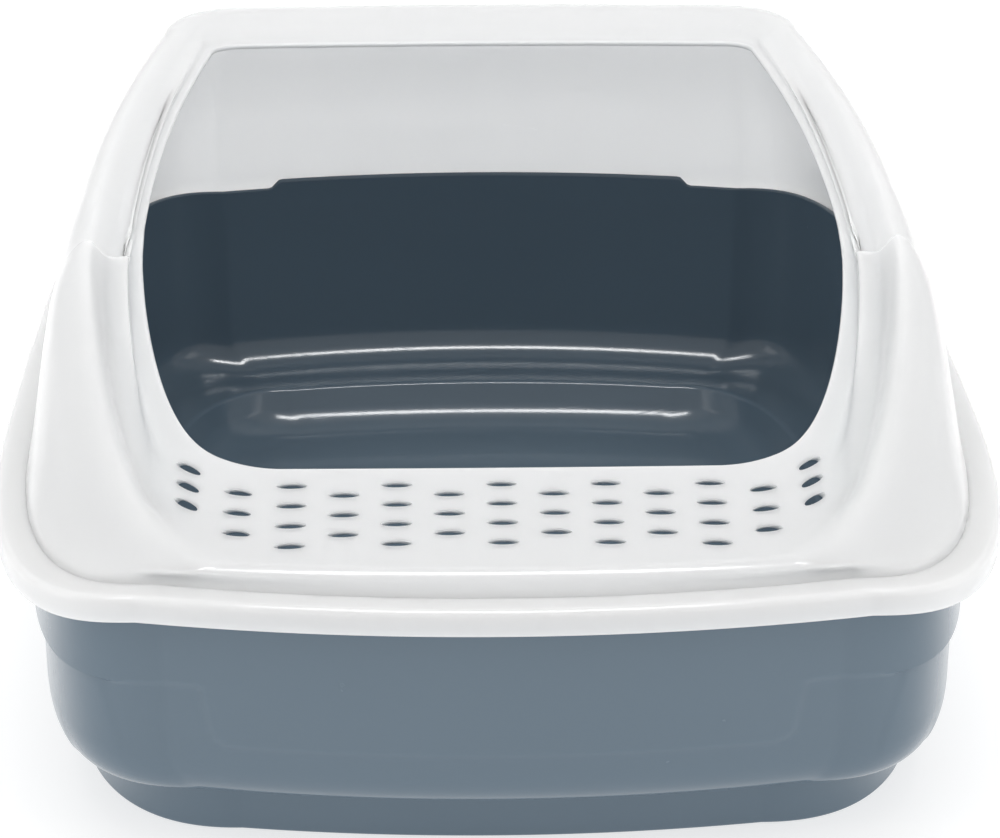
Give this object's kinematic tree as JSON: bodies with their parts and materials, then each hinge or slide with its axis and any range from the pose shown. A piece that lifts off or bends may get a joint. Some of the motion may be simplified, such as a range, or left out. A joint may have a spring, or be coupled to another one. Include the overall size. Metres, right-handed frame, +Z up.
{
  "type": "cat litter box with hood",
  "caption": "Open cat litter tray with a lift-off open-topped hood: low sieved front sill to step over, sides sweeping up to a high back.",
  "frame": {"origin": "middle of the footprint, on the floor", "axes": "+X across, +Y from the low sieved sill to the high back, +Z up"},
  "size_m": [0.35, 0.48, 0.186],
  "materials": {
    "tray_plastic": "blue-grey injection-moulded polypropylene, glossy",
    "hood_plastic": "white injection-moulded polypropylene, glossy"
  },
  "bodies": {
    "tray": {"litter_tray": "tray_plastic"},
    "hood": {"sieve_hood": "hood_plastic"}
  },
  "joints": [
    {"name": "hood_lift", "type": "slide", "parent": "tray", "child": "hood", "axis": [0, 0, 1], "range_m": [0, 0.15]}
  ]
}
